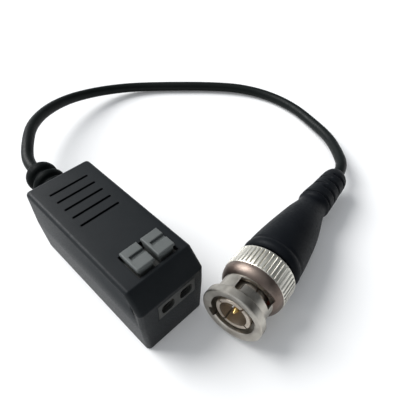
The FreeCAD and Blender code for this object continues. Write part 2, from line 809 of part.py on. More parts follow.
def make_surge_diode():
    body = new_body("surge_diode")
    place = front + cell("TerminalDepth") + cell("DiodeGap") + cell("DiodeWidth") / 2
    side = new_sketch(body, "Side", "XZ_Plane", height=-place)
    half = cell("DiodeLength") / 2
    base = board_top
    lead = cell("StripThick")
    tuck = half - lead * 2
    outline(side, [(-half, base), (-tuck, base), (-tuck, base + lead), (tuck, base + lead),
                   (tuck, base), (half, base), (half, base + lead * 3),
                   (half - lead, base + lead * 3), (half - lead * 1.6, base + cell("DiodeHeight")),
                   (lead * 1.6 - half, base + cell("DiodeHeight")),
                   (lead - half, base + lead * 3), (-half, base + lead * 3)])
    pad(body, side, "Package", cell("DiodeWidth"), symmetric=True)
    return body


def make_chip_capacitors():
    """Two small chips that lie behind the transformer."""
    chips = []
    size = Vector(cell("ChipLength").number, cell("ChipWidth").number, cell("ChipHeight").number)
    back = cell("CorePlace").number + cell("CoreDepth").number / 2 + cell("WireThick").number * 3
    for side_sign in (-1, 1):
        corner = Vector(side_sign * cell("CoreWidth").number / 2 - size.x / 2, back,
                        board_top.number)
        chips.append(Part.makeBox(size.x, size.y, size.z, corner))
    return make_part("chip_capacitors", Part.makeCompound(chips))


def smooth_tube(points, radius):
    """A round tube along straight runs joined by tangent arcs, with its radii and length."""
    corners = [Vector(*point) for point in points]
    edges = []
    radii = []
    start = corners[0]
    for index in range(1, len(corners) - 1):
        before = corners[index] - corners[index - 1]
        after = corners[index + 1] - corners[index]
        turn = before.getAngle(after)
        trim = 0.45 * min(before.Length, after.Length)
        radii.append(trim / math.tan(turn / 2))
        enter = corners[index] - before.normalize() * trim
        leave = corners[index] + after.normalize() * trim
        inward = (after.normalize() - before.normalize()).normalize()
        bow = radii[-1] / math.cos(turn / 2) - radii[-1]
        edges.append(Part.LineSegment(start, enter).toShape())
        edges.append(Part.Arc(enter, corners[index] + inward * bow, leave).toShape())
        start = leave
    edges.append(Part.LineSegment(start, corners[-1]).toShape())
    path = Part.Wire(edges)
    heading = (corners[1] - corners[0]).normalize()
    ring = Part.Wire([Part.Circle(corners[0], heading, radius).toShape()])
    tube = path.makePipeShell([ring], True, False)
    return tube, radii, path.Length


def make_strain_relief():
    """Moulded round the cable: a neck held by both shells, two ribs and a domed end."""
    body = new_body("strain_relief")
    side = new_sketch(body, "Side", "XY_Plane")
    full = cell("ReliefRadius")
    neck = cell("ReliefNeck")
    low = cell("ReliefGroove")
    end = cell("ReliefLength")
    hole = cell("CableDiameter") / 2
    first = end * 0.43
    second = end * 0.614
    rib = end * 0.055
    bead = end * 0.127
    outline(side, [
        (-(wall + cell("ReliefInside")), 0), (end, 0), (end, hole + gap),
        (end - gap * 3, hole + gap * 3, "left", end * 0.165),
        (end * 0.861, full - gap * 3.5, "left", end * 0.6),
        (end * 0.73, full), (second + rib * 1.2, full - gap * 3),
        (second + rib * 0.7, low), (second - rib * 0.3, low),
        (second - rib * 0.5, full - gap * 2, "left", bead * 0.75),
        (first + rib * 0.5, full - gap * 2), (first + rib * 0.3, low), (first - rib * 0.7, low),
        (first - rib, full - gap * 2, "left", end * 0.8), (gap, full - gap * 2), (gap, neck),
        (-(wall + gap), neck), (-(wall + gap), full), (-(wall + cell("ReliefInside")), full),
    ])
    turned(body, side, "Moulding")
    body.Placement = Placement(Vector(relief_x.number, rear.number, parting.number),
                               Rotation(Vector(0, 0, 1), 90))
    bind(body, "Placement.Base.x", relief_x)
    bind(body, "Placement.Base.y", rear)
    bind(body, "Placement.Base.z", parting)
    return body


def make_cable_ends():
    """The stripped core and the twisted screen, from the strain relief down to the board."""
    inside = rear.number - wall.number - cell("ReliefInside").number
    axis_z = parting.number
    core = cell("CoreWire").number / 2
    screen = cell("ScreenWire").number / 2
    x = relief_x.number
    core_route = [(x + bend[0], inside - bend[1], axis_z + bend[2]) for bend in CORE_TAIL]
    core_route.append((x + CORE_PAD[0], inside - CORE_PAD[1], board_top.number))
    screen_route = [(x + bend[0], inside - bend[1], axis_z + bend[2]) for bend in SCREEN_TAIL]
    screen_route.append((x + SCREEN_PAD[0], inside - SCREEN_PAD[1], board_top.number))
    core_tube = smooth_tube(core_route, core)[0]
    screen_tube = smooth_tube(screen_route, screen)[0]
    floor = Part.makeBox(width.number, length.number, board_top.number,
                         Vector(-width.number / 2, front.number, 0))
    make_part("cable_core", core_tube.cut(floor))
    make_part("cable_screen", screen_tube.cut(floor))


# The plug's own frame: its X runs back from the rim along the plug's axis
plug_frame = Placement(
    Vector(cell("PlugX").number, cell("PlugY").number, cell("PlugZ").number),
    Rotation(cell("PlugTurn").number, cell("PlugDip").number, 0))


def place_on_plug(body):
    body.Placement = plug_frame
    bind(body, "Placement.Base.x", cell("PlugX"))
    bind(body, "Placement.Base.y", cell("PlugY"))
    bind(body, "Placement.Base.z", cell("PlugZ"))
    return body


def turned_ring(label, front_t, rear_t, inner, outer, angle=None):
    """A plain ring on the plug's axis."""
    body = new_body(label)
    side = new_sketch(body, "Side", "XY_Plane")
    outline(side, [(front_t, inner), (rear_t, inner), (rear_t, outer), (front_t, outer)])
    turned(body, side, "Ring", angle=angle)
    return place_on_plug(body)


run = gap + 0.02
flange_rear = cell("FlangeFront") + cell("FlangeThick")
nut_shoulder = cell("NutLength") - cell("ShoulderThick")
washer_front = nut_shoulder - cell("WasherThick") - gap / 2
ring_front = cell("NutLength") + gap


def make_coupling_nut():
    body = new_body("coupling_nut")
    side = new_sketch(body, "Side", "XY_Plane")
    rim = cell("RimRadius")
    tube = cell("TubeRadius")
    knurl = cell("KnurlRadius")
    bore = cell("NutBore")
    bevel = gap * 4
    swell = cell("KnurlStart")
    neck_round = cell("NeckRound")
    front_bore = cell("FrontBore")
    outline(side, [
        (0, cell("MouthRadius")), (bevel, front_bore), (cell("FrontBoreEnd"), front_bore),
        (cell("FrontBoreEnd"), bore), (nut_shoulder, bore),
        (nut_shoulder, cell("SleeveRadius") + run), (cell("NutLength"), cell("SleeveRadius") + run),
        (cell("NutLength"), knurl - bevel), (cell("NutLength") - bevel, knurl),
        (swell + bevel, knurl), (swell, knurl - bevel / 2),
        (swell - bevel / 2, knurl - bevel * 0.6, "left", cell("NutLength") * 0.2),
        (cell("BellStart"), tube),
        (cell("RimLength") + neck_round, tube, "right", neck_round * 1.05),
        (cell("RimLength"), tube + neck_round), (cell("RimLength"), rim - bevel * 0.7),
        (cell("RimLength") - bevel * 0.7, rim), (bevel / 2, rim), (0, rim - bevel / 2),
    ])
    turned(body, side, "Turning")
    slot = new_sketch(body, "Slot", "XY_Plane", turn=cell("SlotTurn"))
    reach = cell("SlotReach")
    notch = cell("NotchWidth")
    notch_x = cell("NotchFront") + notch / 2
    outline(slot, [
        (cell("SlotFront"), -reach), (cell("SlotFront"), reach - notch),
        (notch_x, reach - notch, "right", notch / 2 * 1.0001), (notch_x, reach),
        (cell("SlotRear"), reach), (cell("SlotRear") + cell("SlotRamp"), -reach),
    ])
    cut = pocket(body, slot, "BayonetSlot", knurl + gap, backwards=True)
    repeated(body, cut, "SlotPair", "X_Axis", as_size(2))
    entry = new_sketch(body, "Entry", "XY_Plane", turn=cell("ChannelTurn"))
    box_outline(entry, -gap, cell("SlotFront") + gap, front_bore - gap * 3, cell("ChannelRadius"))
    channel = turned(body, entry, "EntryChannel", kind="Groove", angle=cell("ChannelSweep"))
    repeated(body, channel, "ChannelPair", "X_Axis", as_size(2))
    tooth = new_sketch(body, "Tooth", "XZ_Plane")
    floor = knurl - cell("KnurlDepth")
    box_outline(tooth, swell - gap * 2, cell("NutLength") + gap, floor, knurl + gap * 5)
    cut = pocket(body, tooth, "KnurlGroove", cell("KnurlGap"), symmetric=True)
    repeated(body, cut, "Knurl", "X_Axis", cell("KnurlCount"))
    return place_on_plug(body)


def make_plug_body():
    """The plug's metal body: slotted sleeve, flange, shank with a ring groove, crimp stem."""
    body = new_body("plug_body")
    side = new_sketch(body, "Side", "XY_Plane")
    sleeve = cell("SleeveRadius")
    flange = cell("FlangeRadius")
    hollow = cell("SleeveBore")
    seat = cell("InsulatorRadius")
    stem = cell("StemRadius")
    lead = cell("SleeveFront")
    hollow_end = lead + cell("SleeveDepth")
    shank_end = cell("BootFront") + gap * 10
    insulator_end = shank_end - gap * 10
    ring_rear = ring_front + cell("RingThick") + gap
    groove = cell("RingRadius") - gap * 14
    outline(side, [
        (lead, hollow), (hollow_end, hollow), (hollow_end, seat), (insulator_end, seat),
        (insulator_end, stem / 2), (cell("StemEnd"), stem / 2), (cell("StemEnd"), stem),
        (shank_end, stem), (shank_end, sleeve), (ring_rear, sleeve), (ring_rear, groove),
        (ring_front - gap, groove), (ring_front - gap, sleeve), (flange_rear, sleeve),
        (flange_rear, flange), (cell("FlangeFront"), flange), (cell("FlangeFront"), sleeve),
        (lead + gap * 3, sleeve), (lead, sleeve - gap * 2),
    ])
    turned(body, side, "Turning")
    cross = new_sketch(body, "Cross", "XY_Plane", turn=cell("SleeveTurn"))
    half = cell("SleeveSlot") / 2
    box_outline(cross, lead - gap, cell("FlangeFront") - cell("GasketThick") * 3, -half, half)
    first = pocket(body, cross, "SleeveCut", sleeve + gap)
    repeated(body, first, "SleeveCuts", "X_Axis", as_size(4))
    return place_on_plug(body)


def make_dielectric():
    body = new_body("dielectric")
    side = new_sketch(body, "Side", "XY_Plane")
    start = cell("SleeveFront") + cell("SleeveDepth") + gap
    end = cell("BootFront") - gap
    outline(side, [(start, cell("PinRadius") + gap / 2), (end, cell("PinRadius") + gap / 2),
                   (end, cell("InsulatorRadius") - gap / 2),
                   (start, cell("InsulatorRadius") - gap / 2)])
    turned(body, side, "Turning")
    return place_on_plug(body)


def make_centre_pin():
    body = new_body("centre_pin")
    side = new_sketch(body, "Side", "XY_Plane")
    radius = cell("PinRadius")
    tip = cell("PinFront")
    end = cell("BootFront") + gap * 12
    outline(side, [(tip, 0), (end, 0), (end, radius), (tip + radius * 1.7, radius),
                   (tip + gap, radius / 3)])
    turned(body, side, "Turning")
    return place_on_plug(body)


def make_plug_core():
    """The cable's insulated core, from the pin back through the crimp stem."""
    body = new_body("plug_core")
    side = new_sketch(body, "Side", "XY_Plane")
    start = cell("BootFront") + gap * 13
    bore = cell("StemRadius") / 2 - gap
    outline(side, [(start, 0), (cell("BootShoulder"), 0), (cell("BootShoulder"), bore),
                   (start, bore)])
    turned(body, side, "Core")
    return place_on_plug(body)


def make_spring_washer():
    """A dished washer that pushes the nut back against its ring."""
    body = new_body("spring_washer")
    side = new_sketch(body, "Side", "XY_Plane")
    thick = cell("StripThick")
    inner = cell("SleeveRadius") + run
    outer = cell("FlangeRadius") - gap / 2
    start = flange_rear + gap / 2
    end = washer_front - gap / 2
    outline(side, [(end - thick, inner), (end, inner), (start + thick, outer), (start, outer)])
    turned(body, side, "Dish")
    return place_on_plug(body)


def make_boot():
    body = new_body("boot")
    side = new_sketch(body, "Side", "XY_Plane")
    start = cell("BootFront")
    shank = cell("SleeveRadius") + gap / 2
    shank_end = start + gap * 10.5
    ferrule = cell("StemRadius") + cell("FerruleWall") + gap
    ferrule_end = shank_end + cell("FerruleLength") + gap
    core = cell("StemRadius") / 2 - gap / 2
    tail = cell("BootWaist") + gap * 14
    end = cell("BootEnd")
    hole = cell("CableDiameter") / 2
    lip = start + cell("BootLipRun")
    tail_front = tail + gap * 20
    tail_rear = end - hole * 1.15
    outline(side, [
        (start, shank), (shank_end, shank), (shank_end, ferrule), (ferrule_end, ferrule),
        (ferrule_end, core), (cell("BootShoulder") + gap, core), (cell("BootShoulder") + gap, 0),
        (end, 0), (end, hole, "left", hole * 1.45),
        (tail_rear, cell("TailEndRadius")), (tail_front, cell("TailRadius")),
        (tail, cell("TailRadius") - gap),
        (cell("BootWaist"), cell("BootWaistRadius"), "right", end * 2.4),
        (cell("BootShoulder"), cell("BootShoulderRadius"), "left", end * 4),
        (lip, cell("BootLip"), "left", hole * 1.5), (start, cell("BootLip") - gap * 14),
    ])
    turned(body, side, "Moulding")
    half_turn = as_size(180)
    first = cell("TailFirst")
    fall = (cell("TailRadius") - cell("TailEndRadius")) / (tail_rear - tail_front)
    spots = [(0, 360.0, 0.0), (1, 180.0, 80.0), (2, 180.0, -80.0), (3, 180.0, 80.0)]
    for number, sweep, start_turn in spots:
        ring = new_sketch(body, "Groove%d" % number, "XY_Plane", turn=as_size(start_turn))
        spot = first + cell("TailPitch") * number
        deep = cell("TailRadius") - cell("TailGrooveDepth") - fall * cell("TailPitch") * number
        outline(ring, [(spot, deep), (spot + cell("TailGroove") * 0.6, deep),
                       (spot + cell("TailGroove"), cell("TailRadius") + gap * 4),
                       (spot - cell("TailGroove") * 0.4, cell("TailRadius") + gap * 4)])
        turned(body, ring, "Ring%d" % number, kind="Groove", angle=as_size(sweep))
    return place_on_plug(body)


def make_cable():
    """The free cable, printed with its bend radii and checked against its length."""
    radius = cell("CableDiameter").number / 2
    relief_end = Vector(relief_x.number, rear.number + cell("ReliefLength").number, parting.number)
    boot_end = plug_frame.multVec(Vector(cell("BootEnd").number, 0, 0))
    boot_out = plug_frame.multVec(Vector(cell("BootEnd").number + CABLE_FINISH, 0, 0))
    points = [tuple(relief_end), (relief_end.x, relief_end.y + CABLE_START, relief_end.z)]
    points += CABLE_ROUTE + [tuple(boot_out), tuple(boot_end)]
    tube, radii, run_length = smooth_tube(points, radius)
    print("cable radii", [round(value, 1) for value in radii])
    print("cable length %.1f, tube volume over section times length %.4f"
          % (run_length, tube.Volume / (math.pi * radius ** 2 * run_length)))
    print("cable route", [tuple(round(v, 2) for v in point) for point in points])
    make_part("cable", tube)


make_upper_shell()
make_lower_shell()
make_terminal_block()
for label_end, sign in (("left", -1), ("right", 1)):
    make_lever("lever_" + label_end, sign)
    make_contact("contact_" + label_end, sign)
    make_clamp_spring("clamp_spring_" + label_end, sign)
make_circuit_board()
make_transformer_core()
make_transformer_winding()
make_surge_diode()
make_chip_capacitors()
make_strain_relief()
make_cable_ends()
make_cable()
make_coupling_nut()
make_plug_body()
make_dielectric()
make_centre_pin()
make_plug_core()
make_spring_washer()
make_boot()
turned_ring("gasket", cell("FlangeFront") - cell("GasketThick") - gap / 2,
            cell("FlangeFront") - gap / 2, cell("SleeveRadius") + gap / 2,
            cell("FlangeRadius") - gap)
turned_ring("thrust_washer", washer_front, nut_shoulder - gap / 2, cell("SleeveRadius") + run,
            cell("NutBore") - run)
turned_ring("retaining_ring", ring_front, ring_front + cell("RingThick"),
            cell("RingRadius") - gap * 14 + gap / 2, cell("RingRadius"),
            angle=360 - cell("RingGapTurn"))
turned_ring("ferrule", cell("BootFront") + gap * 11, cell("BootFront") + gap * 11
            + cell("FerruleLength"), cell("StemRadius") + gap / 2,
            cell("StemRadius") + cell("FerruleWall"))
doc.recompute()

PIECES = [thing for thing in doc.Objects
          if thing.TypeId == "PartDesign::Body" or thing.TypeId == "Part::Feature"]
for thing in doc.Objects:
    if "Invalid" in thing.State or "Error" in thing.State:
        raise RuntimeError("%s failed: %s" % (thing.Label, thing.State))
for piece in PIECES:
    if piece.Shape.isNull() or not piece.Shape.isValid():
        raise RuntimeError("%s has no valid shape" % piece.Label)
os.makedirs("parts", exist_ok=True)
for piece in PIECES:
    piece.Shape.exportStep("parts/%s.step" % piece.Label)
    print("%-22s solids %d volume %9.2f" % (piece.Label, len(piece.Shape.Solids), piece.Shape.Volume))
print("pieces", len(PIECES))
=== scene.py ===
"""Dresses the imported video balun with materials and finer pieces, on a pale floor."""
import bmesh
import bpy
import json
import math
from mathutils import Matrix, Vector


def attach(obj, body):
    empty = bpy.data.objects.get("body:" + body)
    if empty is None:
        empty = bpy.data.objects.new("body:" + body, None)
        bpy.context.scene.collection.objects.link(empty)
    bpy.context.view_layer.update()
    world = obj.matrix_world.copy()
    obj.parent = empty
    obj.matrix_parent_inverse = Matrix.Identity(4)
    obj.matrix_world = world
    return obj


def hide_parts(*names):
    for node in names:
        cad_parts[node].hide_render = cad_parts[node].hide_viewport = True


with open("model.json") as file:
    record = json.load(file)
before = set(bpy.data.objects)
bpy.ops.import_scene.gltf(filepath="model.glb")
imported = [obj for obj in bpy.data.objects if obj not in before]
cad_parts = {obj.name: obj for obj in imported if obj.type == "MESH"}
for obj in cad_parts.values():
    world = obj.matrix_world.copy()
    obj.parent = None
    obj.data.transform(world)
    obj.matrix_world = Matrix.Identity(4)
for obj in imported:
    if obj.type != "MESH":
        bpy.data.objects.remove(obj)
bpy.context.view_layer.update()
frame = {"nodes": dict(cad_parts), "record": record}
nodes = frame["nodes"]
scene = bpy.context.scene
scene.view_settings.view_transform = "Standard"

MM = 0.001
WELD_DISTANCE = 1e-6  # metres

# Camera, at the photograph's place

VIEW_AZIMUTH = math.radians(-47.26)
VIEW_ELEVATION = math.radians(47.98)
VIEW_ROLL = math.radians(2.24)
VIEW_PLACE = Vector((-23.43, -49.01, 78.86)) * MM
VIEW_LENS = 33.97


def make_camera():
    """A camera at the photograph's viewing angle, a hand's width from the object."""
    azimuth, elevation, roll = VIEW_AZIMUTH, VIEW_ELEVATION, VIEW_ROLL
    back = Vector((math.sin(azimuth) * math.cos(elevation),
                   -math.cos(azimuth) * math.cos(elevation), math.sin(elevation)))
    right = Vector((math.cos(azimuth), math.sin(azimuth), 0))
    up = back.cross(right)
    level_right = right * math.cos(roll) + up * math.sin(roll)
    level_up = up * math.cos(roll) - right * math.sin(roll)
    data = bpy.data.cameras.new("camera")
    data.lens = VIEW_LENS
    data.sensor_width = 36
    data.clip_start = 0.002
    data.clip_end = 20
    camera = bpy.data.objects.new("camera", data)
    turn = Matrix((level_right, level_up, back)).transposed()
    camera.matrix_world = Matrix.Translation(VIEW_PLACE) @ turn.to_4x4()
    scene.collection.objects.link(camera)
    scene.camera = camera


make_camera()

# Finer pieces on the plug, the strain relief and the terminal

PLUG_FRAME = (Matrix.Translation(Vector((6.54, -27.98, 7.95)))
              @ Matrix.Rotation(math.radians(9.26), 4, "Z")
              @ Matrix.Rotation(math.radians(2.94), 4, "Y"))
RELIEF_FRAME = (Matrix.Translation(Vector((0.45, 19.05, 9.3)))
                @ Matrix.Rotation(math.radians(90), 4, "Z"))


def smooth_step(value):
    """Eases from 0 to 1 as the value goes from 0 to 1, and stays there outside."""
    value = max(0.0, min(1.0, value))
    return value * value * (3 - 2 * value)


def ramp(x, start, stop):
    """Eases from 0 at start to 1 at stop, which may lie below start."""
    return smooth_step((x - start) / (stop - start))


def through(points, x):
    """A smooth curve through the points, as the height at x."""
    last = len(points) - 1
    i = max(0, min(last - 1, sum(1 for p in points if p[0] <= x) - 1))

    def slope(k):
        low, high = max(0, k - 1), min(last, k + 1)
        return (points[high][1] - points[low][1]) / (points[high][0] - points[low][0])

    (x0, y0), (x1, y1) = points[i], points[i + 1]
    run = x1 - x0
    u = max(0.0, min(1.0, (x - x0) / run))
    return ((1 + 2 * u) * (1 - u) ** 2 * y0 + u * (1 - u) ** 2 * run * slope(i)
            + u * u * (3 - 2 * u) * y1 + u * u * (u - 1) * run * slope(i + 1))


def steps(start, stop, size):
    """Places from start to stop, about size apart."""
    count = max(1, round((stop - start) / size))
    return [start + (stop - start) * k / count for k in range(count + 1)]


def add_ring(mesh, place, x, radius, count, shift=0.0):
    """A ring of points about the X axis. The radius may be a function of the angle."""
    ring = []
    for k in range(count):
        angle = 2 * math.pi * k / count
        r = radius(angle) if callable(radius) else radius
        spot = Vector((x, r * math.cos(angle) + shift, r * math.sin(angle)))
        ring.append(mesh.verts.new(place @ spot * MM))
    return ring


def join_rings(mesh, rings):
    """Joins each ring to the next with quads."""
    for first, second in zip(rings, rings[1:]):
        for k in range(len(first)):
            after = (k + 1) % len(first)
            mesh.faces.new((first[k], first[after], second[after], second[k]))


def close_ring(mesh, ring, place, x, shift=0.0):
    """Closes an end of a turned form with a fan."""
    middle = mesh.verts.new(place @ Vector((x, shift, 0)) * MM)
    for k in range(len(ring)):
        mesh.faces.new((ring[k], ring[(k + 1) % len(ring)], middle))


def finish_piece(mesh, name, body, node):
    """Turns the mesh into an object that rides on a body in place of a CAD node."""
    bmesh.ops.recalc_face_normals(mesh, faces=mesh.faces[:])
    data = bpy.data.meshes.new(name)
    mesh.to_mesh(data)
    mesh.free()
    piece = bpy.data.objects.new(name, data)
    scene.collection.objects.link(piece)
    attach(piece, body)
    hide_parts(node)
    return piece


# The moulded boot: its cone from the lip to the waist, and its ringed tail. Profiles are
# (place along the plug's axis, radius) in millimetres.

BOOT_FRONT = 14.6
BOOT_END = 54.0
BOOT_FACETS = 96
BOOT_HOLLOW = [(29.58, 1.11), (23.02, 1.11), (23.02, 2.83), (15.44, 2.83), (15.44, 4.09),
               (BOOT_FRONT, 4.09)]
BOOT_SIDE = [(BOOT_FRONT, 6.25), (14.95, 6.62), (15.5, 6.88), (16.1, 6.93), (16.6, 6.84),
             (16.95, 6.70), (17.3, 6.70), (17.8, 6.76), (20.5, 6.55), (23.5, 6.22), (26.5, 5.83),
             (29.5, 5.33), (32.5, 4.72), (35.0, 4.12), (36.8, 3.72), (37.8, 3.68), (38.4, 3.95),
             (39.0, 4.12), (41.5, 3.98), (45.0, 3.72), (48.5, 3.45), (51.0, 3.2), (52.4, 2.85),
             (53.3, 2.35), (BOOT_END, 1.72)]
# spans of the boot's places, each as (start, stop, spacing)
BOOT_STEPS = [(BOOT_FRONT, 18, 0.15), (18.5, 38, 0.7), (38.2, 53.2, 0.1), (53.3, BOOT_END, 0.1)]
# grooves round the tail: the place, and the side in degrees that a half groove faces
BOOT_RINGS = [(39.6, None), (42.75, 180), (44.4, 0), (46.1, 180), (47.75, 0), (49.4, 180)]
RING_DEPTH = 0.62
RING_WIDTH = 0.27
RING_FACE = (-0.15, 0.20)
RING_START = (38.6, 39.2)
WAIST_SHIFT = 0.28
WAIST_IN = (27, 35)
WAIST_OUT = (46, 39)
TAIL_SWELL = 0.28
SWELL_IN = (46, 50)
SWELL_OUT = (53.2, 51.2)


def boot_shift(x):
    """The boot leans a little where its cone meets the tail."""
    return WAIST_SHIFT * ramp(x, *WAIST_IN) * ramp(x, *WAIST_OUT)


def boot_radius(x):
    """The boot's radius at x, as a function of the angle: its side, grooves and swollen tail."""
    side = through(BOOT_SIDE, x)
    swell = TAIL_SWELL * ramp(x, *SWELL_IN) * ramp(x, *SWELL_OUT)

    def radius(angle):
        depth = 0.0
        for spot, facing in BOOT_RINGS:
            here = math.exp(-((x - spot) / RING_WIDTH) ** 2)
            if facing is not None:
                here *= ramp(math.cos(angle - math.radians(facing)), *RING_FACE)
            depth = max(depth, here)
        return (side - RING_DEPTH * depth * ramp(x, *RING_START)
                + swell * max(0.0, -math.cos(angle)))
    return radius


def make_boot():
    """The boot, closed at both ends, with its hollow from the front."""
    mesh = bmesh.new()
    rings = [add_ring(mesh, PLUG_FRAME, x, r, BOOT_FACETS) for x, r in BOOT_HOLLOW]
    places = [x for span in BOOT_STEPS for x in steps(*span)]
    rings += [add_ring(mesh, PLUG_FRAME, x, boot_radius(x), BOOT_FACETS, boot_shift(x))
              for x in places]
    join_rings(mesh, rings)
    close_ring(mesh, rings[0], PLUG_FRAME, BOOT_HOLLOW[0][0])
    close_ring(mesh, rings[-1], PLUG_FRAME, BOOT_END)
    return finish_piece(mesh, "boot_moulding", "balun", "boot")


# The coupling nut: the CAD solid's slotted bell, and a knurl of finer teeth behind it

KNURL_TEETH = 48
TOOTH_SHAPE = (1.0, 0.45, 0, 0, 0, 0, 0, 0.45)
KNURL_DEEP = 0.26
NUT_CUT = 8.2  # where the CAD nut ends and the finer knurl starts
NUT_SPLIT = 6.0  # a radius between the nut's outer and inner walls
BELL_FRONT = 5.95
# the knurled end's outline: place, radius and share of the teeth's depth
NUT_SIDE = [(8.3, 7.09, 0), (8.42, 7.16, 0), (8.5, 7.2, 1), (8.62, 7.25, 1), (12.85, 7.25, 1),
            (12.95, 7.23, 0.2), (13.05, 7.2, 0), (13.2, 7.2, 0), (13.45, 6.95, 0),
            (13.45, 4.15, 0), (11.9, 4.15, 0), (11.9, 5.15, 0), (8.3, 5.15, 0)]


def make_nut():
    """The nut, with the CAD solid in front of the cut and a finer knurl behind it."""
    mesh = bmesh.new()
    mesh.from_mesh(nodes["coupling_nut"].data)
    bmesh.ops.remove_doubles(mesh, verts=mesh.verts[:], dist=WELD_DISTANCE)
    place = PLUG_FRAME.copy()
    place.translation *= MM
    axis = (place.to_3x3() @ Vector((1, 0, 0))).normalized()
    bmesh.ops.bisect_plane(mesh, geom=mesh.verts[:] + mesh.edges[:] + mesh.faces[:],
                           plane_co=place @ Vector((NUT_CUT * MM, 0, 0)), plane_no=axis,
                           clear_outer=True)
    back = place.inverted()
    cut = [edge for edge in mesh.edges if edge.is_boundary]
    outer = [e for e in cut if (back @ e.verts[0].co).yz.length > NUT_SPLIT * MM]
    inner = [e for e in cut if (back @ e.verts[0].co).yz.length <= NUT_SPLIT * MM]
    count = KNURL_TEETH * len(TOOTH_SHAPE)

    def toothed(radius, share):
        return lambda angle: radius - KNURL_DEEP * share * TOOTH_SHAPE[
            round(angle / (2 * math.pi) * count) % len(TOOTH_SHAPE)]

    rings = [add_ring(mesh, PLUG_FRAME, x, toothed(r, share), count) for x, r, share in NUT_SIDE]
    join_rings(mesh, rings)
    for loop, ring in ((outer, rings[0]), (inner, rings[-1])):
        own = set(ring)
        near = [e for v in ring for e in v.link_edges if e.other_vert(v) in own]
        bmesh.ops.bridge_loops(mesh, edges=loop + list(dict.fromkeys(near)))
    return finish_piece(mesh, "nut_knurled", "nut", "coupling_nut")


# The strain relief: its held neck, two beads and a tapering end

RELIEF_FRONT = 0.08
RELIEF_END = 15.65
RELIEF_STEP = 0.13
RELIEF_FACETS = 80
RELIEF_INSIDE = [(-2.7, 4.15), (-1.38, 4.15), (-1.38, 3.0), (RELIEF_FRONT, 3.0)]
RELIEF_SIDE = [(RELIEF_FRONT, 3.95), (1.5, 4.05), (4.0, 4.12), (5.3, 4.05), (5.8, 3.85),
               (6.1, 3.45), (6.5, 3.2), (6.9, 3.4), (7.2, 3.85), (7.8, 4.1), (8.3, 4.13),
               (8.8, 4.0), (9.2, 3.65), (9.5, 3.25), (9.95, 3.1), (10.35, 3.25), (10.7, 3.65),
               (11.3, 3.92), (12.1, 3.92), (12.9, 3.7), (13.6, 3.28), (14.2, 2.78), (14.8, 2.3),
               (15.3, 1.95), (RELIEF_END, 1.75)]


def make_relief():
    """The strain relief, from its flange inside the box to its tapering end."""
    mesh = bmesh.new()
    rings = [add_ring(mesh, RELIEF_FRAME, x, r, RELIEF_FACETS) for x, r in RELIEF_INSIDE]
    rings += [add_ring(mesh, RELIEF_FRAME, x, through(RELIEF_SIDE, x), RELIEF_FACETS)
              for x in steps(RELIEF_FRONT, RELIEF_END, RELIEF_STEP)]
    join_rings(mesh, rings)
    close_ring(mesh, rings[0], RELIEF_FRAME, RELIEF_INSIDE[0][0])
    close_ring(mesh, rings[-1], RELIEF_FRAME, RELIEF_END)
    return finish_piece(mesh, "relief_moulding", "balun", "strain_relief")


# The lever pads: a thin head with a shallow cross groove, free all round its stem. Points of
# the CAD lever between the first two heights move to the third.

PAD_UNDER = (18.5, 18.7, 18.98)
PAD_GROOVE = (18.85, 18.95, 19.25)


def make_lever(node, shift):
    """A lever with its head thinned, its groove made shallow and its pad shifted along X."""
    mesh = bmesh.new()
    mesh.from_mesh(nodes[node].data)
    bmesh.ops.remove_doubles(mesh, verts=mesh.verts[:], dist=WELD_DISTANCE)
    for vert in mesh.verts:
        z = vert.co.z / MM
        if z > PAD_UNDER[0]:
            vert.co.x += shift * MM
        for low, high, new in (PAD_UNDER, PAD_GROOVE):
            if low < z < high:
                vert.co.z = new * MM
    return finish_piece(mesh, node + "_pad", node, node)


# The free cable

CABLE_DIAMETER = 3.1
CABLE_ROUTE = [
    (0.45, 34.7, 9.3),
    (0.45, 38.3, 9.3),
    (3.9, 44.2, 10.2),
    (8.8, 51.1, 10.0),
    (16.2, 56.7, 8.8),
    (24.9, 60.5, 6.9),
    (33.2, 61.8, 5.0),
    (40.8, 61.5, 3.4),
    (48.3, 59.3, 2.3),
    (55.6, 54.8, 1.7),
    (63.0, 48.2, 1.7),
    (70.6, 41.0, 1.7),
    (78.0, 32.1, 1.8),
    (81.9, 22.2, 1.7),
    (82.1, 11.6, 1.9),
    (79.2, 1.7, 2.1),
    (75.3, -7.0, 2.9),
    (70.0, -13.1, 4.0),
    (64.1, -18.59, 4.95),
    (59.77, -19.3, 5.18),
]


def make_cable():
    """The cable as one smooth spline along the route."""
    curve = bpy.data.curves.new("cable_sheath", "CURVE")
    curve.dimensions = "3D"
    spline = curve.splines.new("NURBS")
    spline.points.add(len(CABLE_ROUTE) - 1)
    for point, place in zip(spline.points, CABLE_ROUTE):
        point.co = (*(Vector(place) * MM), 1)
        point.radius = CABLE_DIAMETER / 2 * MM
    spline.order_u = 3
    spline.use_endpoint_u = True
    spline.resolution_u = 12
    curve.bevel_depth = 1.0
    curve.bevel_resolution = 8
    curve.use_fill_caps = True
    sheath = bpy.data.objects.new("cable_sheath", curve)
    scene.collection.objects.link(sheath)
    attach(sheath, "balun")
    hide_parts("cable")
    return sheath


boot = make_boot()
nut = make_nut()
cable = make_cable()
relief = make_relief()
levers = [make_lever("lever_left", shift=-0.28), make_lever("lever_right", shift=0.06)]

# Materials


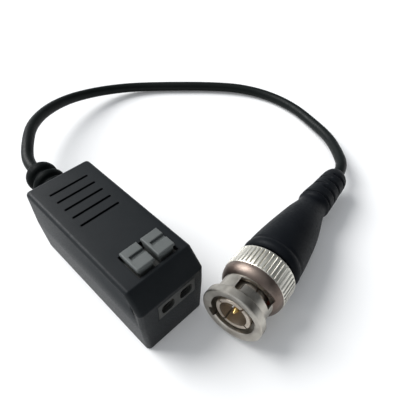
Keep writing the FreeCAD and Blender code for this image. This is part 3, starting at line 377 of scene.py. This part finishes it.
class Shader:
    """A small builder for node materials. Textures are laid in millimetres of the part's frame."""

    def __init__(self, name, colour, roughness, metallic=0.0, **sockets):
        self.material = bpy.data.materials.new(name)
        self.material.use_nodes = True
        self.tree = self.material.node_tree
        self.bsdf = self.tree.nodes["Principled BSDF"]
        self.bsdf.inputs["Base Color"].default_value = (*colour, 1)
        self.bsdf.inputs["Roughness"].default_value = roughness
        self.bsdf.inputs["Metallic"].default_value = metallic
        for socket, value in sockets.items():
            self.bsdf.inputs[socket.replace("_", " ")].default_value = value
        place = self.add("ShaderNodeTexCoord")
        scale = self.add("ShaderNodeMapping")
        scale.inputs["Scale"].default_value = (1 / MM, 1 / MM, 1 / MM)
        self.link(place.outputs["Object"], scale.inputs["Vector"])
        self.place = scale.outputs["Vector"]
        self.height = None

    def add(self, kind):
        return self.tree.nodes.new(kind)

    def link(self, source, target):
        self.tree.links.new(source, target)

    def noise(self, size, detail=3.0, rough=0.55):
        """Noise whose features are about size millimetres across."""
        texture = self.add("ShaderNodeTexNoise")
        texture.inputs["Scale"].default_value = 1 / size
        texture.inputs["Detail"].default_value = detail
        texture.inputs["Roughness"].default_value = rough
        self.link(self.place, texture.inputs["Vector"])
        return texture.outputs["Fac"]

    def spread(self, value, low, high, start=0.3, stop=0.7):
        """A value moved from the range start..stop to low..high."""
        remap = self.add("ShaderNodeMapRange")
        remap.inputs["From Min"].default_value = start
        remap.inputs["From Max"].default_value = stop
        remap.inputs["To Min"].default_value = low
        remap.inputs["To Max"].default_value = high
        self.link(value, remap.inputs["Value"])
        return remap.outputs["Result"]

    def blend(self, value, first, second):
        """A colour between first and second by value. Either may be a socket."""
        mix = self.add("ShaderNodeMix")
        mix.data_type = "RGBA"
        self.link(value, mix.inputs["Factor"])
        ends = [s for s in mix.inputs if s.type == "RGBA"]
        for socket, colour in zip(ends, (first, second)):
            if isinstance(colour, tuple):
                socket.default_value = (*colour, 1)
            else:
                self.link(colour, socket)
        return [s for s in mix.outputs if s.type == "RGBA"][0]

    def colour(self, socket):
        self.link(socket, self.bsdf.inputs["Base Color"])
        return self

    def roughness(self, socket):
        self.link(socket, self.bsdf.inputs["Roughness"])
        return self

    def bump(self, socket, depth):
        """Raises the surface by up to depth millimetres."""
        node = self.add("ShaderNodeBump")
        node.inputs["Distance"].default_value = depth * MM
        node.inputs["Strength"].default_value = 1.0
        self.link(socket, node.inputs["Height"])
        if self.height is not None:
            self.link(self.height, node.inputs["Normal"])
        self.height = node.outputs["Normal"]
        self.link(self.height, self.bsdf.inputs["Normal"])
        return self


def plastic(name, colour, lighter, roughness, grain=0.16, depth=0.006, gloss=0.5):
    """Moulded plastic with a fine spark texture and a faint unevenness of tone."""
    shader = Shader(name, colour, roughness, Specular_IOR_Level=gloss)
    tone = shader.spread(shader.noise(5.0, 4), 0, 1)
    shader.colour(shader.blend(tone, colour, lighter))
    shader.roughness(shader.spread(shader.noise(grain * 1.8, 4), roughness - 0.09,
                                   roughness + 0.09))
    shader.bump(shader.noise(grain, 2), depth)
    return shader


def metal(name, colour, other, roughness, patch=2.2):
    """Plated metal with slight changes of tone and a finely uneven surface."""
    shader = Shader(name, colour, roughness, metallic=1.0)
    tone = shader.spread(shader.noise(patch, 5), 0, 1)
    shader.colour(shader.blend(tone, colour, other))
    shader.roughness(shader.spread(shader.noise(1.1, 6), roughness - 0.05, roughness + 0.09))
    shader.bump(shader.noise(0.35, 4), 0.002)
    return shader


LOOKS = {
    "shell": plastic("shell_plastic", (0.0055, 0.0074, 0.0090), (0.0085, 0.0105, 0.0120), 0.47,
                     grain=0.2, depth=0.003, gloss=0.16),
    "lever": plastic("lever_plastic", (0.090, 0.098, 0.096), (0.113, 0.121, 0.118), 0.42,
                     depth=0.002, gloss=0.25),
    "terminal": plastic("terminal_plastic", (0.036, 0.037, 0.034), (0.048, 0.049, 0.045), 0.45,
                        depth=0.003, gloss=0.3),
    "contact": metal("tinned_brass", (0.72, 0.64, 0.47), (0.62, 0.55, 0.40), 0.3),
    "spring": metal("spring_steel", (0.55, 0.55, 0.53), (0.42, 0.42, 0.41), 0.28),
    "board": plastic("board_mask", (0.02, 0.10, 0.045), (0.03, 0.13, 0.06), 0.25, depth=0.001),
    "ferrite": plastic("ferrite", (0.035, 0.035, 0.037), (0.055, 0.055, 0.057), 0.6, grain=0.3,
                       depth=0.01),
    "winding": metal("enamelled_copper", (0.55, 0.20, 0.08), (0.42, 0.14, 0.05), 0.25),
    "diode": plastic("diode_package", (0.02, 0.02, 0.022), (0.03, 0.03, 0.032), 0.5),
    "chip": plastic("chip_ceramic", (0.30, 0.22, 0.14), (0.36, 0.27, 0.18), 0.4),
    "relief": plastic("relief_moulding", (0.0026, 0.0037, 0.0037), (0.0044, 0.0057, 0.0057), 0.50,
                      grain=0.4, depth=0.004, gloss=0.04),
    "cable": plastic("cable_sheath", (0.0030, 0.0048, 0.0046), (0.0052, 0.0070, 0.0068), 0.46,
                     grain=0.5, depth=0.003, gloss=0.12),
    "core": plastic("core_insulation", (0.60, 0.60, 0.57), (0.66, 0.66, 0.63), 0.4),
    "screen": metal("copper_screen", (0.60, 0.30, 0.16), (0.50, 0.22, 0.10), 0.35),
    "boot": plastic("boot_moulding", (0.0028, 0.0036, 0.0052), (0.0045, 0.0056, 0.0074), 0.5,
                    grain=0.35, depth=0.005, gloss=0.08),
    "plug": metal("plug_plating", (0.66, 0.60, 0.52), (0.50, 0.43, 0.36), 0.4),
    "nut": metal("nut_plating", (0.52, 0.50, 0.45), (0.33, 0.30, 0.26), 0.33, patch=3.0),
    # a darker, browner copy of the nut plating: painted reflection and shade on the bell
    "nut_bell_painted_shade": metal("nut_bell_painted_shade_plating", (0.22, 0.18, 0.155), (0.145, 0.11, 0.093), 0.42,
                      patch=3.5),
    # a paler copy of the nut plating: painted light on the knurl
    "nut_knurl_painted_light": metal("nut_knurl_painted_light_plating", (0.72, 0.70, 0.63), (0.58, 0.56, 0.50), 0.4),
    "dielectric": plastic("plug_insulator", (0.60, 0.53, 0.46), (0.66, 0.59, 0.52), 0.45),
    "pin": metal("pin_gold", (0.90, 0.66, 0.28), (0.78, 0.55, 0.22), 0.25),
    "gasket": plastic("gasket_silicone", (0.20, 0.035, 0.02), (0.26, 0.05, 0.03), 0.5),
    "washer": metal("washer_steel", (0.42, 0.42, 0.41), (0.33, 0.33, 0.32), 0.3),
    "ferrule": metal("ferrule_plating", (0.55, 0.53, 0.48), (0.45, 0.43, 0.39), 0.3),
}


def wear(thing, slot):
    """Gives an object the look of a record slot."""
    thing.data.materials.clear()
    thing.data.materials.append(LOOKS[slot].material)


def smooth(thing, angle=35, bevel=None):
    """Shades a carried-over solid smoothly between its real edges, with a soft edge if asked."""
    for face in thing.data.polygons:
        face.use_smooth = True
    weld = thing.modifiers.new("weld", "WELD")
    weld.merge_threshold = WELD_DISTANCE
    if bevel:
        edge = thing.modifiers.new("edge", "BEVEL")
        edge.width = bevel * MM
        edge.segments = 2
        edge.limit_method = "ANGLE"
        edge.angle_limit = math.radians(angle)
        edge.harden_normals = False
    split = thing.modifiers.new("split", "EDGE_SPLIT")
    split.split_angle = math.radians(angle)
    split.use_edge_sharp = False


def dress_nut(piece):
    """Gives the nut's bell a darker, browner copy of the plating, a painted reflection and shade,
    and its knurl a paler copy, painted light.
    """
    piece.data.materials.append(LOOKS["nut_bell_painted_shade"].material)
    piece.data.materials.append(LOOKS["nut_knurl_painted_light"].material)
    back = PLUG_FRAME.inverted()
    for face in piece.data.polygons:
        # outer faces behind the cut take the painted-light copy, those on the bell the painted
        # reflection and shade copy
        spot = back @ (face.center / MM)
        if spot.yz.length > NUT_SIDE[-1][1] + 0.5:
            face.material_index = 2 if spot.x > NUT_CUT + 0.1 else int(spot.x > BELL_FRONT)


slot_of = {part["node"]: part["material_slot"] for part in frame["record"]["subparts"]}
for name, node in nodes.items():
    wear(node, slot_of[name])
    smooth(node)
for piece, slot in ((boot, "boot"), (nut, "nut"), (relief, "relief")):
    wear(piece, slot)
    smooth(piece)
dress_nut(nut)
for piece in levers:
    wear(piece, "lever")
    smooth(piece, bevel=0.12)
wear(cable, "cable")

# Floor, light and surroundings

FLOOR_WHITE = 0.10  # the share of plain white that camera and mirror rays see
FLOOR_HALF = 3.0
FLOOR_DROP = 0.02
# ramps as (from low, from high, result at low, result at high)
SKY_BRIGHT = (-0.48, 0.45, 0.75)
SKY_COLOUR = (0.94, 0.985, 1.035)
SKY_RAMP = (0.0, 0.95, 0.05, 0.75)
HORIZON_RAMP = (0.18, 0.3, 0.85, 0.0)
KEY_TOWARD = (-0.25, 0.70, 0.67)
KEY_WIDTH = 40
KEY_POWER = 4.0


def make_stage():
    """A pale floor under the object. Camera and mirror rays see it nearer to white."""
    mesh = bpy.data.meshes.new("floor")
    half = FLOOR_HALF
    mesh.from_pydata([(-half, -half, 0), (half, -half, 0), (half, half, 0), (-half, half, 0)], [],
                     [(0, 1, 2, 3)])
    floor = bpy.data.objects.new("floor", mesh)
    floor.location.z = -FLOOR_DROP * MM
    scene.collection.objects.link(floor)
    shader = Shader("floor_paper", (0.88, 0.88, 0.88), 0.9, Specular_IOR_Level=0.0)
    shader.colour(shader.blend(shader.spread(shader.noise(40.0, 3), 0, 1), (0.87, 0.87, 0.87),
                               (0.89, 0.89, 0.89)))
    rays = shader.add("ShaderNodeLightPath")
    white = shader.add("ShaderNodeEmission")
    white.inputs["Strength"].default_value = 1.0
    seen = rays.outputs["Is Camera Ray"]
    for name in ("Is Glossy Ray", "Is Transmission Ray"):
        either = shader.add("ShaderNodeMath")
        either.operation = "MAXIMUM"
        shader.link(seen, either.inputs[0])
        shader.link(rays.outputs[name], either.inputs[1])
        seen = either.outputs["Value"]
    share = shader.add("ShaderNodeMath")
    share.operation = "MULTIPLY"
    share.inputs[1].default_value = FLOOR_WHITE
    shader.link(seen, share.inputs[0])
    mix = shader.add("ShaderNodeMixShader")
    shader.link(share.outputs["Value"], mix.inputs["Fac"])
    shader.link(shader.bsdf.outputs["BSDF"], mix.inputs[1])
    shader.link(white.outputs["Emission"], mix.inputs[2])
    shader.link(mix.outputs["Shader"], shader.tree.nodes["Material Output"].inputs["Surface"])
    floor.data.materials.append(shader.material)


def sun_light(name, toward, width, power):
    """A broad soft light from one direction, alike all over the floor."""
    data = bpy.data.lights.new(name, "SUN")
    data.angle = math.radians(width)
    data.energy = power
    light = bpy.data.objects.new(name, data)
    light.rotation_euler = Vector(toward).to_track_quat("Z", "Y").to_euler()
    scene.collection.objects.link(light)


def value_ramp(tree, value, ends):
    """A smooth ramp of a value: its start and stop, then the result at each."""
    ramp = tree.nodes.new("ShaderNodeMapRange")
    ramp.interpolation_type = "SMOOTHSTEP"
    for socket, number in zip(("From Min", "From Max", "To Min", "To Max"), ends):
        ramp.inputs[socket].default_value = number
    tree.links.new(value, ramp.inputs["Value"])
    return ramp.outputs["Result"]


def make_light():
    """A soft sky, brighter toward one side and at the horizon, and one broad lamp behind."""
    world = bpy.data.worlds.new("studio")
    scene.world = world
    world.use_nodes = True
    tree = world.node_tree
    back = tree.nodes["Background"]
    back.inputs["Color"].default_value = (*SKY_COLOUR, 1)
    place = tree.nodes.new("ShaderNodeTexCoord")
    facing = tree.nodes.new("ShaderNodeVectorMath")
    facing.operation = "DOT_PRODUCT"
    facing.inputs[1].default_value = Vector(SKY_BRIGHT).normalized()
    tree.links.new(place.outputs["Generated"], facing.inputs[0])
    parts = tree.nodes.new("ShaderNodeSeparateXYZ")
    tree.links.new(place.outputs["Generated"], parts.inputs["Vector"])
    level = tree.nodes.new("ShaderNodeMath")
    level.operation = "MAXIMUM"
    tree.links.new(value_ramp(tree, facing.outputs["Value"], SKY_RAMP), level.inputs[0])
    tree.links.new(value_ramp(tree, parts.outputs["Z"], HORIZON_RAMP), level.inputs[1])
    tree.links.new(level.outputs["Value"], back.inputs["Strength"])
    sun_light("key", KEY_TOWARD, KEY_WIDTH, KEY_POWER)


make_stage()
make_light()
